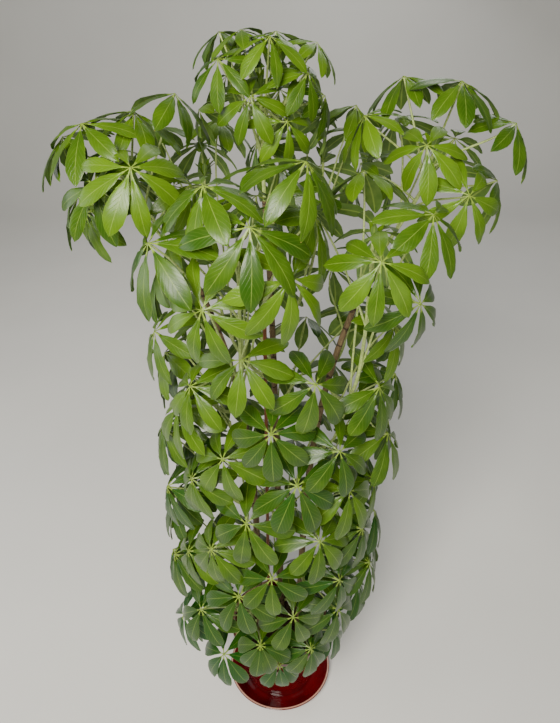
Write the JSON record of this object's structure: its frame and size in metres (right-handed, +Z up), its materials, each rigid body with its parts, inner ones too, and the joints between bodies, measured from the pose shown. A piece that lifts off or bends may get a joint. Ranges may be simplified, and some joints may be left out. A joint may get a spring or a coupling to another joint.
{
  "type": "potted umbrella plant",
  "caption": "Tall floor-standing umbrella plant: woody stems and a cane in a glazed round pot on a saucer, with long-stalked hand-shaped leaves in a dense column and a wide lobed crown.",
  "frame": {"origin": "middle of the saucer's underside, on the floor", "axes": "+Z up, the front of the plant faces -Y, +X to the right seen from the front"},
  "size_m": [0.7865, 0.6858, 1.5455],
  "materials": {
    "glaze": "gloss",
    "soil": "matte",
    "bamboo": "satin",
    "bark": "matte",
    "leaf": "satin"
  },
  "bodies": {
    "root": {"saucer": "glaze", "pot": "glaze", "potting_soil": "soil", "support_cane": "bamboo", "woody_stem_1": "bark", "woody_stem_2": "bark", "woody_stem_3": "bark", "crown_top": "leaf", "crown_left": "leaf", "crown_right": "leaf", "crown_front": "leaf", "crown_front_right": "leaf", "crown_back": "leaf", "crown_back_left": "leaf", "leafy_shoot_1": "leaf", "leafy_shoot_2": "leaf", "leafy_shoot_3": "leaf", "leafy_shoot_4": "leaf", "leafy_shoot_5": "leaf", "leafy_shoot_6": "leaf", "leafy_shoot_7": "leaf", "leafy_shoot_8": "leaf", "leafy_shoot_9": "leaf", "leafy_shoot_10": "leaf", "leafy_shoot_11": "leaf", "leafy_shoot_12": "leaf", "leafy_shoot_13": "leaf", "leafy_shoot_14": "leaf", "leafy_shoot_15": "leaf", "leafy_shoot_16": "leaf", "leafy_shoot_17": "leaf", "leafy_shoot_18": "leaf", "leafy_shoot_19": "leaf", "leafy_shoot_20": "leaf", "leafy_shoot_21": "leaf", "leafy_shoot_22": "leaf", "leafy_shoot_23": "leaf", "leafy_shoot_24": "leaf", "leafy_shoot_25": "leaf", "leafy_shoot_26": "leaf", "leafy_shoot_27": "leaf", "leafy_shoot_28": "leaf"}
  },
  "joints": []
}
